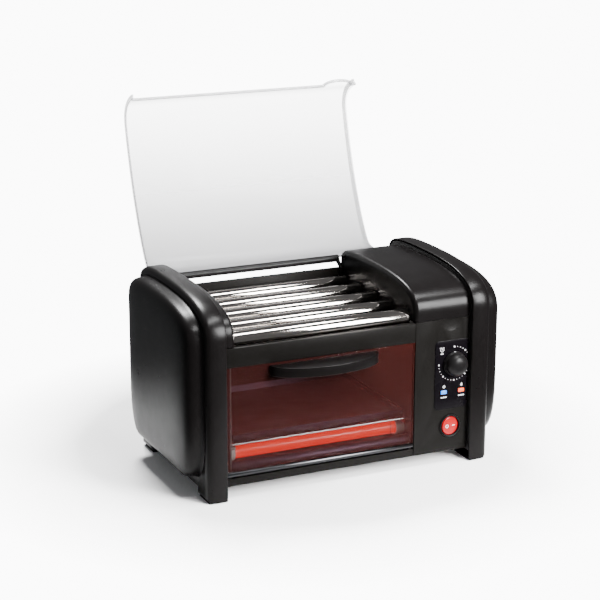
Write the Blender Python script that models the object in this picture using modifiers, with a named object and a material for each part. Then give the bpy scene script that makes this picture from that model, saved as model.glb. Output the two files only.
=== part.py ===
"""Hot dog roller grill with a toaster oven below its rollers.

Five geared rollers turn over a small oven with a glass door. Two moulded end caps carry the cabinet,
and the right-hand one stands beside the gears, the motor and the controls. A clear hood swings up on a
bar behind the rollers.

Every size is in metres, in body coordinates: X to the right, Y to the back, Z up, from the middle of the
footprint on the table. One empty carries all the parts and centres their common box on the origin.
"""

import math

import bmesh
import bpy
from mathutils import Matrix, Vector

# Overall sizes
CENTRING_Y = -0.04606
RIM_OUT = 0.178
RIM_IN = 0.1535
BULGE_OUT = 0.1995
HALF_DEPTH = 0.107
TOP = 0.2303
SHOULDER = 0.186
FOOT_BOTTOM = 0.001
FOOT_TOP = 0.0085
FOOT_LENGTH = 0.036
SHELL_WALL = 0.0026
GAP = 0.0003

# Cabinet
RECESS = 0.008
FRONT = -HALF_DEPTH + RECESS
PANEL_WALL = 0.0024
COVER_SEAM = 0.1765
COVER_WALL = 0.002
PANEL_LEFT = 0.0834
BED_LEFT = -0.140
BED_RIGHT = 0.082
PLATE_WALL = 0.002
PLATE_FRONT = -0.091
PLATE_BACK = 0.093
PLATE_TOP = 0.190
CABINET_BOTTOM = 0.0148
BASE_BOTTOM = 0.0124
FASCIA_BOTTOM = 0.1530
FASCIA_TOP = 0.1755
BACK_FACE = 0.098
BACK_TOP = 0.196

# Rollers and their gears
ROLLERS = 5
ROLLER_PITCH = 0.040
ROLLER_FIRST_Y = -0.081
ROLLER_Z = 0.180
ROLLER_RADIUS = 0.010
ROLLER_LEFT = BED_LEFT + 0.0015
ROLLER_RIGHT = BED_RIGHT - 0.0015
JOURNAL_RADIUS = 0.004
ROLLER_TEETH = 16
IDLER_TEETH = 12
GEAR_MODULE = ROLLER_PITCH / (ROLLER_TEETH + IDLER_TEETH)
GEAR_LEFT = 0.092
GEAR_RIGHT = 0.098
IDLER_JOURNAL = 0.0025

# Hood
HINGE_Y = 0.103
HINGE_Z = 0.2055
HOOD_HALF_WIDTH = 0.1495
HOOD_WALL = 0.0025
HINGE_BAR_RADIUS = 0.0045
TAB_CENTRE = 0.124
TAB_HALF_WIDTH = 0.019
TAB_HEIGHT = 0.007

# Door
DOOR_AXIS_Y = -0.096
DOOR_AXIS_Z = 0.0275
DOOR_LEFT = -0.1515
DOOR_RIGHT = 0.0822
DOOR_RAIL_RADIUS = 0.0034
DOOR_PIN_RADIUS = 0.0018
GLASS_TOP = 0.1525
HANDLE_X = -0.033
HANDLE_HALF_WIDTH = 0.067
HANDLE_REACH = 0.030
HANDLE_BOTTOM = 0.1395
HANDLE_TOP = 0.1505

# Controls
DIAL_X = 0.134
DIAL_Z = 0.1218
KNOB_RADIUS = 0.0145
KNOB_FRONT = -0.115
SHAFT_RADIUS = 0.003
SWITCH_X = 0.1305
SWITCH_Z = 0.0455
SWITCH_PIVOT_Y = -0.0965
SWITCH_TILT = math.radians(8)
SWITCH_BALL = 0.0115
LAMP_Z = 0.0878
LAMP_X = {"blue_lamp": 0.1213, "orange_lamp": 0.1444}
LAMP_SIZE = (0.0075, 0.0042)

# Oven
HEATER_Y = -0.066
HEATER_Z = 0.042
HEATER_RADIUS = 0.0075
RACK_BOTTOM = 0.0563
RACK_WIRE = 0.0024
RACK_SPACES = 8

AXIS_X = Vector((1, 0, 0))
AXIS_Y = Vector((0, 1, 0))
AXIS_Z = Vector((0, 0, 1))
# Turns that carry a flat outline's own plane to the plane across each axis.
FACING_X = Matrix(((0, 0, 1), (1, 0, 0), (0, 1, 0))).to_4x4()
FACING_Y = Matrix(((1, 0, 0), (0, 0, -1), (0, 1, 0))).to_4x4()
FACING_Z = Matrix.Identity(4)


def clear_scene():
    for thing in list(bpy.data.objects):
        bpy.data.objects.remove(thing, do_unlink=True)


def new_collection(name):
    found = bpy.data.collections.new(name)
    bpy.context.scene.collection.children.link(found)
    return found


def material(name, colour, roughness, metallic=0.0, alpha=1.0):
    made = bpy.data.materials.new(name)
    made.use_nodes = True
    shader = made.node_tree.nodes["Principled BSDF"]
    shader.inputs["Base Color"].default_value = (*colour, 1.0)
    shader.inputs["Roughness"].default_value = roughness
    shader.inputs["Metallic"].default_value = metallic
    shader.inputs["Alpha"].default_value = alpha
    return made


clear_scene()
PARTS = new_collection("hot_dog_roller_grill")
CUTTERS = new_collection("cutters")
BODY = bpy.data.objects.new("body_centre", None)
BODY.location = (0, CENTRING_Y, 0)
PARTS.objects.link(BODY)

BLACK_SHELL = material("black_shell", (0.018, 0.015, 0.016), 0.42)
BLACK_PANEL = material("black_panel", (0.028, 0.026, 0.025), 0.5)
OVERLAY = material("overlay", (0.008, 0.007, 0.009), 0.35)
STEEL = material("steel_sheet", (0.35, 0.34, 0.34), 0.4, 1.0)
CHROME = material("roller_chrome", (0.75, 0.74, 0.73), 0.12, 1.0)
ACETAL = material("acetal", (0.75, 0.74, 0.70), 0.5)
NYLON_BLACK = material("nylon_black", (0.03, 0.03, 0.03), 0.6)
DARK_METAL = material("dark_metal", (0.06, 0.05, 0.06), 0.45, 1.0)
ACRYLIC = material("clear_acrylic", (0.9, 0.92, 0.92), 0.05, 0.0, 0.3)
DOOR_GLASS = material("smoked_glass", (0.08, 0.05, 0.05), 0.05, 0.0, 0.5)
QUARTZ = material("quartz_hot", (0.9, 0.12, 0.05), 0.2)
CERAMIC = material("ceramic", (0.8, 0.78, 0.74), 0.5)
RUBBER = material("rubber", (0.02, 0.02, 0.02), 0.8)
RED_BUTTON = material("red_button", (0.8, 0.02, 0.03), 0.25)
BLUE_LENS = material("blue_lens", (0.1, 0.35, 0.9), 0.2)
ORANGE_LENS = material("orange_lens", (0.95, 0.2, 0.04), 0.2)


def place(name, mesh, finish=None, matrix=None):
    """An object for a mesh, among the parts if it has a finish and among the cutters if it has none."""
    made = bpy.data.objects.new(name, mesh)
    made.parent = BODY
    if matrix is not None:
        made.matrix_local = matrix
    if finish is None:
        CUTTERS.objects.link(made)
        made.hide_render = True
        made.display_type = "WIRE"
    else:
        PARTS.objects.link(made)
        mesh.materials.append(finish)
    return made


def mesh_from(name, shape):
    mesh = bpy.data.meshes.new(name)
    shape.to_mesh(mesh)
    shape.free()
    return mesh


def block(name, low, high, finish=None, open_top=False):
    """A box between two corners, or with open_top the five faces of a tray."""
    low = Vector(low)
    size = Vector(high) - low
    shape = bmesh.new()
    bmesh.ops.create_cube(shape, size=1.0)
    bmesh.ops.scale(shape, vec=size, verts=shape.verts)
    bmesh.ops.translate(shape, vec=low + size / 2, verts=shape.verts)
    if open_top:
        top = [face for face in shape.faces if face.normal.z > 0.5]
        bmesh.ops.delete(shape, geom=top, context="FACES_ONLY")
    return place(name, mesh_from(name, shape), finish)


def along(start, direction):
    """A matrix that puts the local +Z axis at start, along direction."""
    turn = AXIS_Z.rotation_difference(direction).to_matrix().to_4x4()
    return Matrix.Translation(start) @ turn


def rod(name, start, end, radius, finish=None, segments=24):
    start = Vector(start)
    run = Vector(end) - start
    shape = bmesh.new()
    bmesh.ops.create_cone(
        shape, cap_ends=True, segments=segments, radius1=radius, radius2=radius, depth=run.length
    )
    matrix = along(start + run / 2, run.normalized())
    return place(name, mesh_from(name, shape), finish, matrix)


def turned(name, profile, start, direction, finish, closed=False, steps=24):
    """A profile of (radius, height) points, from the top down its outer side, turned about direction."""
    mesh = bpy.data.meshes.new(name)
    count = len(profile)
    edges = [(i, i + 1) for i in range(count - 1)]
    if closed:
        edges.append((count - 1, 0))
    mesh.from_pydata([(radius, 0, height) for radius, height in profile], edges, [])
    made = place(name, mesh, finish, along(Vector(start), direction))
    screw = made.modifiers.new("turn", "SCREW")
    screw.steps = steps
    screw.render_steps = steps
    screw.use_merge_vertices = True
    screw.merge_threshold = 0.00002
    screw.use_smooth_shade = True
    return made


def plate(name, outline, low, high, facing, finish=None, holes=()):
    """A flat outline with holes, filled and extruded from low to high along the axis that it faces."""
    curve = bpy.data.curves.new(name, "CURVE")
    curve.dimensions = "2D"
    curve.fill_mode = "BOTH"
    curve.extrude = (high - low) / 2
    for loop in (outline, *holes):
        spline = curve.splines.new("POLY")
        spline.points.add(len(loop) - 1)
        for point, (u, v) in zip(spline.points, loop):
            point.co = (u, v, 0, 1)
        spline.use_cyclic_u = True
    drawn = bpy.data.objects.new(name + "_outline", curve)
    PARTS.objects.link(drawn)
    bpy.context.view_layer.update()
    graph = bpy.context.evaluated_depsgraph_get()
    mesh = bpy.data.meshes.new_from_object(drawn.evaluated_get(graph))
    bpy.data.objects.remove(drawn, do_unlink=True)
    shape = bmesh.new()
    shape.from_mesh(mesh)
    bmesh.ops.remove_doubles(shape, verts=shape.verts, dist=0.00001)
    bmesh.ops.recalc_face_normals(shape, faces=shape.faces)
    shape.to_mesh(mesh)
    shape.free()
    mesh.materials.clear()
    middle = (low + high) / 2 * (-1 if facing is FACING_Y else 1)
    return place(name, mesh, finish, facing @ Matrix.Translation((0, 0, middle)))


def circle(centre, radius, points=16):
    step = 2 * math.pi / points
    return [
        (centre[0] + radius * math.cos(i * step), centre[1] + radius * math.sin(i * step))
        for i in range(points)
    ]


def arc(centre, radius, first, last, points):
    """Points on an arc between two angles in degrees."""
    angles = [math.radians(first + (last - first) * i / (points - 1)) for i in range(points)]
    return [(centre[0] + radius * math.cos(a), centre[1] + radius * math.sin(a)) for a in angles]


def rectangle(low, high, radius=0.0):
    if radius == 0.0:
        return [low, (high[0], low[1]), high, (low[0], high[1])]
    (u0, v0), (u1, v1) = low, high
    corners = [
        ((u1 - radius, v0 + radius), -90),
        ((u1 - radius, v1 - radius), 0),
        ((u0 + radius, v1 - radius), 90),
        ((u0 + radius, v0 + radius), 180),
    ]
    return [point for centre, first in corners for point in arc(centre, radius, first, first + 90, 5)]


def bezier(p0, p1, p2, p3, points):
    """Points on a cubic curve, without its last one."""
    found = []
    for i in range(points):
        t = i / points
        s = 1 - t
        weights = (s * s * s, 3 * s * s * t, 3 * s * t * t, t * t * t)
        found.append(tuple(sum(w * p[k] for w, p in zip(weights, (p0, p1, p2, p3))) for k in range(2)))
    return found


def boolean(target, tool, operation="DIFFERENCE"):
    made = target.modifiers.new(operation.lower(), "BOOLEAN")
    made.operation = operation
    made.solver = "EXACT"
    made.object = tool


def solidify(target, thickness):
    made = target.modifiers.new("wall", "SOLIDIFY")
    made.thickness = thickness
    made.offset = -1
    made.use_even_offset = True


def roller_ys():
    return [ROLLER_FIRST_Y + ROLLER_PITCH * i for i in range(ROLLERS)]


def idler_ys():
    return [y + ROLLER_PITCH / 2 for y in roller_ys()[:-1]]


# Side outlines, as (y, z) points


def top_curve(points=8):
    """The end caps' top edge from the front shoulder to the back one."""
    front = bezier(
        (-HALF_DEPTH, SHOULDER), (-HALF_DEPTH, 0.217), (-0.076, TOP), (0.018, TOP), points
    )
    back = bezier((0.018, TOP), (0.088, TOP), (HALF_DEPTH, 0.229), (HALF_DEPTH, 0.203), points)
    return [*front, *back, (HALF_DEPTH, 0.203), (HALF_DEPTH, SHOULDER)]


def inset(line, depth, closed=False):
    """Moves a line of points to its right by depth, mitred at the corners."""
    moved = []
    count = len(line)
    for i, point in enumerate(line):
        before = Vector(line[i - 1] if closed or i else line[0])
        after = Vector(line[(i + 1) % count] if closed or i + 1 < count else line[-1])
        here = Vector(point)
        first = here - before if (here - before).length > 0 else after - here
        second = after - here if (after - here).length > 0 else here - before
        normals = [Vector((side.y, -side.x)).normalized() for side in (first, second)]
        middle = (normals[0] + normals[1]).normalized()
        moved.append(tuple(here + middle * depth / middle.dot(normals[0])))
    return moved


SIDE_LEVELS = (0.150, 0.110, 0.075, 0.040, 0.014)


def cap_outline(depth):
    """The whole side outline with its two feet, moved in by depth."""
    rise = [(-HALF_DEPTH, z) for z in (FOOT_BOTTOM, *reversed(SIDE_LEVELS))]
    fall = [(HALF_DEPTH, z) for z in (*SIDE_LEVELS, FOOT_BOTTOM)]
    foot = HALF_DEPTH - FOOT_LENGTH
    arch = [(foot, FOOT_BOTTOM), (foot, FOOT_TOP), (-foot, FOOT_TOP), (-foot, FOOT_BOTTOM)]
    return inset([*rise, *top_curve(), *fall, *arch], depth, closed=True)


def pillow_outline(depth):
    """The bulge's outline: rounder at the bottom, ending above the feet, and shrunk by depth."""
    low_corner = [(-0.086, 0.014), (-0.096, 0.0215), (-0.1030, 0.037), (-0.1062, 0.060)]
    rise = [*low_corner, (-HALF_DEPTH, 0.090), (-HALF_DEPTH, 0.150)]
    fall = [(-y, z) for y, z in reversed(rise)]
    bottom = [(y, 0.014) for y in (0.054, 0.018, -0.018, -0.054)]
    middle = 0.122
    half_height = 0.108
    across = (HALF_DEPTH - depth) / HALF_DEPTH
    upward = (half_height - depth) / half_height
    line = [*rise, *top_curve(), *fall, *bottom]
    return [(y * across, middle + (z - middle) * upward) for y, z in line]


def lofted(name, rings, sections, finish, close_first=False):
    """An open surface through rings of (y, z) points at their x, its last ring filled as an end wall."""
    shape = bmesh.new()
    rows = [[shape.verts.new((x, y, z)) for y, z in ring] for x, ring in zip(sections, rings)]
    count = len(rows[0])
    last = count if close_first else count - 1
    for row, following in zip(rows, rows[1:]):
        for i in range(last):
            j = (i + 1) % count
            shape.faces.new((row[i], row[j], following[j], following[i]))
    shape.faces.new(rows[-1])
    if sections[-1] > sections[0]:
        bmesh.ops.reverse_faces(shape, faces=shape.faces)
    return place(name, mesh_from(name, shape), finish)


def end_cap(name, side):
    """One moulded shell: a rounded rim, a shallow valley, and the bulge that stands out of it."""
    rim = ((RIM_IN, 0.0), (0.170, 0.0), (0.1752, 0.0014), (0.1775, 0.0045), (RIM_OUT, 0.008))
    bulge = (
        (0.1772, 0.0085), (0.1800, 0.0095), (0.1880, 0.0105), (0.1935, 0.0130), (0.1967, 0.0185),
        (0.1986, 0.0300), (BULGE_OUT, 0.0500),
    )
    rings = [cap_outline(depth) for _, depth in rim] + [pillow_outline(depth) for _, depth in bulge]
    sections = [side * x for x, _ in rim + bulge]
    cap = lofted(name, rings, sections, BLACK_SHELL, close_first=True)
    solidify(cap, SHELL_WALL)
    cap.data.shade_smooth()


def top_cover(name, side, outer, inner, finish):
    """A cover over the gears or bearings: the cap's curve set in, its inner edge rounded to a wall."""
    inward = -side
    steps = ((0.0, 0.0), (0.0, 0.0), (0.0022, 0.0006), (0.0040, 0.0026), (0.0050, 0.0060))
    sections = [outer] + [inner - inward * (0.005 - run) for run, _ in steps[1:]]
    rings = []
    for _, drop in steps:
        curve = inset(top_curve(), RECESS + drop)
        seam = COVER_SEAM + GAP
        rings.append([(curve[0][0], seam), *curve, (curve[-1][0], seam)])
    cover = lofted(name, rings, sections, finish)
    solidify(cover, COVER_WALL)
    slots = bmesh.new()
    for y in roller_ys():
        made = bmesh.ops.create_cube(slots, size=1.0)
        bmesh.ops.scale(slots, vec=(0.008, 0.011, 0.02), verts=made["verts"])
        bmesh.ops.translate(slots, vec=(inner, y, ROLLER_Z + 0.006 - 0.01), verts=made["verts"])
    boolean(cover, place(name + "_slots", mesh_from(name + "_slots", slots)))


def side_frame(name, low, high, holes):
    curve = inset(top_curve(), 0.0032)
    side = HALF_DEPTH - 0.0032
    outline = [(-side, 0.0125), *curve, (side, 0.0125)]
    plate(name, outline, low, high, FACING_X, NYLON_BLACK, holes)


def side_frames():
    pin = circle((DOOR_AXIS_Y, DOOR_AXIS_Z), DOOR_PIN_RADIUS + GAP, 16)
    side_frame("left_side_frame", -RIM_IN - 0.0023, -RIM_IN - GAP, [pin])
    side_frame("right_side_frame", RIM_IN + GAP, RIM_IN + 0.0023, [])


def bearing_plate(name, face, away):
    """An oven wall with the rollers' holes and the rack's runner; away is -1 left or +1 right."""
    low, high = sorted((face, face + away * PLATE_WALL))
    outline = rectangle((PLATE_FRONT, 0.0148), (PLATE_BACK, PLATE_TOP))
    holes = [circle((y, ROLLER_Z), JOURNAL_RADIUS + 0.001) for y in roller_ys()]
    wall = plate(name, outline, low, high, FACING_X, STEEL, holes)
    near, far = sorted((face - away * 0.0066, face + away * PLATE_WALL / 2))
    low = (near, -0.087, RACK_BOTTOM - 0.0036)
    boolean(wall, block(name + "_runner", low, (far, 0.087, RACK_BOTTOM - GAP)), "UNION")


def bearing_strip(name, low, high, idlers):
    holes = [circle((y, ROLLER_Z), JOURNAL_RADIUS + 0.0002) for y in roller_ys()]
    if idlers:
        holes += [circle((y, ROLLER_Z), IDLER_JOURNAL + 0.0002, 16) for y in idler_ys()]
    outline = rectangle((ROLLER_FIRST_Y - 0.0085, 0.1715), (-ROLLER_FIRST_Y + 0.0045, 0.1885))
    plate(name, outline, low, high, FACING_X, ACETAL, holes)


def bearings():
    left = BED_LEFT - COVER_WALL - GAP
    right = BED_RIGHT + COVER_WALL + GAP
    bearing_plate("left_bearing_plate", left, -1)
    bearing_plate("right_bearing_plate", right, 1)
    strip = PLATE_WALL + GAP
    bearing_strip("left_bearing_strip", left - strip - 0.0045, left - strip, False)
    bearing_strip("right_bearing_strip", right + strip, right + strip + 0.0045, True)


def roller(index, y):
    """A thin steel tube with hollow journals, open at both ends."""
    left_end = -0.1485
    right_end = GEAR_RIGHT + 0.001
    wall = 0.001
    bore = 0.0015
    tube = ROLLER_RADIUS
    outer = [
        (JOURNAL_RADIUS, right_end), (JOURNAL_RADIUS, ROLLER_RIGHT), (tube, ROLLER_RIGHT),
        (tube, ROLLER_LEFT), (JOURNAL_RADIUS, ROLLER_LEFT), (JOURNAL_RADIUS, left_end),
    ]
    inner = [
        (bore, left_end), (bore, ROLLER_LEFT + wall), (tube - wall, ROLLER_LEFT + wall),
        (tube - wall, ROLLER_RIGHT - wall), (bore, ROLLER_RIGHT - wall), (bore, right_end),
    ]
    turned(f"roller_{index}", outer + inner, (0, y, ROLLER_Z), AXIS_X, CHROME, closed=True, steps=16)


def gear_outline(teeth, first_tooth):
    """Tapered teeth, thin enough to turn freely in mesh; first_tooth is the first one's angle."""
    pitch_radius = GEAR_MODULE * teeth / 2
    tip = pitch_radius + 0.9 * GEAR_MODULE
    root = pitch_radius - 1.15 * GEAR_MODULE
    step = 360 / teeth
    shape = ((root, -0.28), (tip, -0.10), (tip, 0.10), (root, 0.28))
    line = []
    for i in range(teeth):
        for radius, share in shape:
            angle = math.radians(first_tooth + step * (i + share))
            line.append((radius * math.cos(angle), radius * math.sin(angle)))
    return line


def gear(name, teeth, first_tooth, y, z, bore=None, journal=None):
    """A spur gear with its origin on its axis, with a bore or with a journal of its own between two x."""
    holes = [circle((0, 0), bore)] if bore else []
    half = (GEAR_RIGHT - GEAR_LEFT) / 2
    made = plate(name, gear_outline(teeth, first_tooth), -half, half, FACING_X, ACETAL, holes)
    made.location = ((GEAR_LEFT + GEAR_RIGHT) / 2, y, z)
    if journal:
        start, end = ((x, y, z) for x in journal)
        boolean(made, rod(name + "_journal", start, end, IDLER_JOURNAL, segments=12), "UNION")


def gear_train():
    for index, y in enumerate(roller_ys(), 1):
        gear(f"roller_gear_{index}", ROLLER_TEETH, 0, y, ROLLER_Z, bore=JOURNAL_RADIUS + GAP)
    half_step = 180 / IDLER_TEETH
    for index, y in enumerate(idler_ys(), 1):
        journal = (0.0868, GEAR_LEFT + 0.001)
        gear(f"idler_gear_{index}", IDLER_TEETH, half_step, y, ROLLER_Z, journal=journal)
    y, z = pinion_place()
    gear("motor_pinion", IDLER_TEETH, half_step, y, z, journal=(GEAR_RIGHT - 0.001, 0.1045))


def pinion_place():
    """Straight below the middle roller, half a roller pitch away."""
    return ROLLER_FIRST_Y + ROLLER_PITCH * 2, ROLLER_Z - ROLLER_PITCH / 2


def gear_motor():
    """A round synchronous gear motor with an offset shaft bore and two posts to the bearing plate."""
    y, z = pinion_place()
    middle_z = z - 0.012
    face = 0.100
    motor = rod("gear_motor", (face, y, middle_z), (0.122, y, middle_z), 0.024, STEEL)
    ear_z = middle_z - 0.014
    low = (face + 0.0005, y - 0.034, ear_z - 0.005)
    high = (face + 0.0025, y + 0.034, ear_z + 0.005)
    boolean(motor, block("motor_ear", low, high), "UNION")
    for post_y in (y - 0.029, y + 0.029):
        ends = ((0.0868, post_y, ear_z), (face + 0.001, post_y, ear_z))
        boolean(motor, rod("motor_post", *ends, 0.003, segments=12), "UNION")
    bore = ((face - 0.001, y, z), (0.1052, y, z))
    boolean(motor, rod("motor_bore", *bore, IDLER_JOURNAL + GAP, segments=16))


def front_fascia():
    """A folded channel below the front roller."""
    wall = 0.0016
    back = PLATE_FRONT - 0.0004
    line = [
        (FRONT, FASCIA_BOTTOM), (FRONT, FASCIA_TOP), (back, FASCIA_TOP), (back, 0.165),
        (back - wall, 0.165), (back - wall, FASCIA_TOP - wall), (FRONT + wall, FASCIA_TOP - wall),
        (FRONT + wall, FASCIA_BOTTOM),
    ]
    plate("front_fascia", line, -RIM_IN + GAP, PANEL_LEFT - GAP, FACING_X, BLACK_PANEL)


def lamp_windows(clearance):
    wide, high = LAMP_SIZE[0] / 2 + clearance, LAMP_SIZE[1] / 2 + clearance
    return [rectangle((x - wide, LAMP_Z - high), (x + wide, LAMP_Z + high)) for x in LAMP_X.values()]


def control_panel():
    """The front wall beside the door, with a return flange that takes the door's right pin."""
    back = FRONT + PANEL_WALL
    line = [
        (PANEL_LEFT, FRONT), (RIM_IN - GAP, FRONT), (RIM_IN - GAP, back), (PANEL_LEFT + PANEL_WALL, back),
        (PANEL_LEFT + PANEL_WALL, -0.0915), (PANEL_LEFT, -0.0915),
    ]
    panel = plate("control_panel", line, CABINET_BOTTOM, COVER_SEAM - GAP, FACING_Z, BLACK_PANEL)
    cuts = [
        circle((DIAL_X, DIAL_Z), 0.0045),
        circle((SWITCH_X, SWITCH_Z), 0.0128),
        *lamp_windows(GAP),
    ]
    for index, cut in enumerate(cuts):
        boolean(panel, plate(f"panel_cut_{index}", cut, FRONT - 0.002, back + 0.002, FACING_Y))
    pin = (PANEL_LEFT - 0.001, DOOR_AXIS_Y, DOOR_AXIS_Z), (0.0858, DOOR_AXIS_Y, DOOR_AXIS_Z)
    boolean(panel, rod("panel_pin_hole", *pin, DOOR_PIN_RADIUS + GAP, segments=16))


def control_overlay():
    face = FRONT - GAP
    outline = rectangle((0.109, 0.067), (0.1528, 0.1505), 0.005)
    holes = [circle((DIAL_X, DIAL_Z), 0.0045), *lamp_windows(GAP)]
    plate("control_overlay", outline, face - 0.0006, face, FACING_Y, OVERLAY, holes)


def lamps():
    finishes = {"blue_lamp": BLUE_LENS, "orange_lamp": ORANGE_LENS}
    wide, high = LAMP_SIZE[0] / 2, LAMP_SIZE[1] / 2
    for name, x in LAMP_X.items():
        low = (x - wide, FRONT - 0.0013, LAMP_Z - high)
        block(name, low, (x + wide, -0.0945, LAMP_Z + high), finishes[name])


def timer():
    body = block("timer_body", (0.115, -0.093, 0.102), (0.152, -0.063, 0.140), NYLON_BLACK)
    inner_end = -0.0855
    bore = ((DIAL_X, -0.095, DIAL_Z), (DIAL_X, inner_end, DIAL_Z))
    boolean(body, rod("timer_bore", *bore, SHAFT_RADIUS + GAP, segments=16))
    outer_end = KNOB_FRONT + 0.003
    shaft = ((DIAL_X, inner_end - GAP, DIAL_Z), (DIAL_X, outer_end, DIAL_Z))
    rod("timer_shaft", *shaft, SHAFT_RADIUS, STEEL, 16)
    depth = FRONT - 0.0013 - KNOB_FRONT
    socket = SHAFT_RADIUS + GAP
    profile = [
        (0, depth), (0.0105, depth), (0.0125, depth - 0.0012), (KNOB_RADIUS - 0.0006, 0.0012),
        (KNOB_RADIUS, 0), (socket, 0), (socket, depth - 0.0026), (0, depth - 0.0026),
    ]
    turned("timer_knob", profile, (DIAL_X, KNOB_FRONT + depth, DIAL_Z), -AXIS_Y, NYLON_BLACK)


def power_switch():
    """A round rocker: a cup with a bezel, and a ball-sided button that tilts about an upright axis."""
    cavity = SWITCH_BALL + GAP
    barrel = cavity + 0.0007
    bezel = barrel + 0.001
    front = 0.0020
    profile = [
        (0, -0.0135), (cavity, -0.0135), (cavity, front), (bezel - 0.0006, front), (bezel, front - 0.0006),
        (bezel, GAP), (barrel, GAP), (barrel, -0.016), (0, -0.016),
    ]
    turned("rocker_housing", profile, (SWITCH_X, FRONT, SWITCH_Z), -AXIS_Y, NYLON_BLACK)
    face, back = 0.0036, -0.0040
    face_radius = math.sqrt(SWITCH_BALL**2 - face**2)
    back_radius = math.sqrt(SWITCH_BALL**2 - back**2)
    side = [(SWITCH_BALL * math.cos(a), SWITCH_BALL * math.sin(a)) for a in (0.2, 0.0, -0.2)]
    button = [(0, face), (face_radius, face), *side, (back_radius, back), (0, back)]
    made = turned("rocker_button", button, (SWITCH_X, SWITCH_PIVOT_Y, SWITCH_Z), -AXIS_Y, RED_BUTTON)
    made.matrix_basis = made.matrix_basis @ Matrix.Rotation(SWITCH_TILT, 4, "Y")


# Oven


def strip(name, line, left, right, thickness, finish):
    """Bent sheet: a line of (y, z) points swept from left to right."""
    shape = bmesh.new()
    rows = [[shape.verts.new((x, y, z)) for y, z in line] for x in (left, right)]
    for i in range(len(line) - 1):
        shape.faces.new((rows[0][i], rows[1][i], rows[1][i + 1], rows[0][i + 1]))
    made = place(name, mesh_from(name, shape), finish)
    solidify(made, thickness)
    return made


def pan(name, low, high, wall, finish):
    made = block(name, low, high, finish, open_top=True)
    solidify(made, wall)
    return made


def oven():
    left = BED_LEFT - COVER_WALL - GAP
    right = BED_RIGHT + COVER_WALL + GAP
    inner = left + GAP, right - GAP
    lip = arc((-0.082, 0.0305), 0.0065, 180, 10, 8)
    line = [(-0.0885, 0.0262), *lip, (-0.070, 0.030), (0.089, 0.030)]
    strip("lower_reflector", line, *inner, 0.0008, DARK_METAL)
    heater = "lower_heater"
    ends = {"left_end": (left, 1), "right_end": (right, -1)}
    tube_ends = ((x, HEATER_Y, HEATER_Z) for x in (left + 0.003, right - 0.003))
    rod(heater, *tube_ends, HEATER_RADIUS, QUARTZ)
    for side, (wall, inward) in ends.items():
        socket = HEATER_RADIUS + GAP
        depth = 0.011
        profile = [
            (0, 0.0025), (socket, 0.0025), (socket, depth), (socket + 0.0017, depth),
            (socket + 0.0017, 0), (0, 0),
        ]
        start = (wall + inward * GAP, HEATER_Y, HEATER_Z)
        turned(f"{heater}_{side}", profile, start, AXIS_X * inward, CERAMIC)
    rod("upper_heater", (inner[0], 0.030, 0.141), (inner[1], 0.030, 0.141), HEATER_RADIUS, QUARTZ, 16)
    pan("drip_pan", (inner[0], -0.087, 0.1525), (inner[1], 0.0925, 0.163), 0.001, STEEL)
    wire_rack()
    tray_bottom = RACK_BOTTOM + RACK_WIRE + GAP
    pan("bun_tray", (-0.136, -0.081, tray_bottom), (0.078, 0.079, tray_bottom + 0.0085), 0.001, DARK_METAL)


def wire_rack():
    """A flat grid of wires running front to back between a front and a back wire."""
    left, right, front, back = -0.1388, 0.0808, -0.085, 0.085
    pitch = (right - left - RACK_WIRE) / RACK_SPACES
    spaces = []
    for i in range(RACK_SPACES):
        start = left + RACK_WIRE + pitch * i
        end = start + pitch - RACK_WIRE
        spaces.append(rectangle((start, front + RACK_WIRE), (end, back - RACK_WIRE)))
    outline = rectangle((left, front), (right, back))
    plate("wire_rack", outline, RACK_BOTTOM, RACK_BOTTOM + RACK_WIRE, FACING_Z, STEEL, spaces)


def crumb_tray():
    front_wall = 0.0022
    tray = pan(
        "crumb_tray", (-0.138, FRONT + front_wall - 0.0004, CABINET_BOTTOM), (0.080, 0.087, 0.0224), 0.001,
        DARK_METAL,
    )
    low = (DOOR_LEFT + 0.0002, FRONT, CABINET_BOTTOM + 0.0001)
    high = (DOOR_RIGHT, FRONT + front_wall, 0.0234)
    boolean(tray, block("crumb_tray_front", low, high), "UNION")


def cabinet():
    side = RIM_IN - GAP
    block("base_plate", (-side, -0.093, BASE_BOTTOM), (side, 0.0956, BASE_BOTTOM + 0.0012), STEEL)
    corner = 0.1757
    outline = [
        (-side, CABINET_BOTTOM), (side, CABINET_BOTTOM), (side, corner), (BED_RIGHT - GAP, corner),
        (BED_RIGHT - GAP, BACK_TOP), (BED_LEFT + GAP, BACK_TOP), (BED_LEFT + GAP, corner), (-side, corner),
    ]
    vents = [rectangle((x, 0.105), (x + 0.004, 0.140)) for x in (0.094 + 0.009 * i for i in range(6))]
    inlet = circle((0.118, 0.040), 0.0073)
    plate("back_panel", outline, BACK_FACE - 0.002, BACK_FACE, FACING_Y, BLACK_PANEL, [*vents, inlet])
    gland = [
        (0.0036, 0.0030), (0.0085, 0.0030), (0.0100, 0.0020), (0.0100, GAP), (0.0070, GAP),
        (0.0070, -0.008), (0.0036, -0.008),
    ]
    turned("cord_gland", gland, (0.118, BACK_FACE, 0.040), AXIS_Y, NYLON_BLACK, closed=True, steps=16)
    for across, x_side in (("left", -1), ("right", 1)):
        for along_body, y_side in (("front", -1), ("back", 1)):
            middle = (x_side * 0.165, y_side * 0.089)
            low = (middle[0] - 0.010, middle[1] - 0.015, 0)
            high = (middle[0] + 0.010, middle[1] + 0.015, FOOT_BOTTOM - GAP)
            block(f"foot_pad_{along_body}_{across}", low, high, RUBBER)


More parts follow.
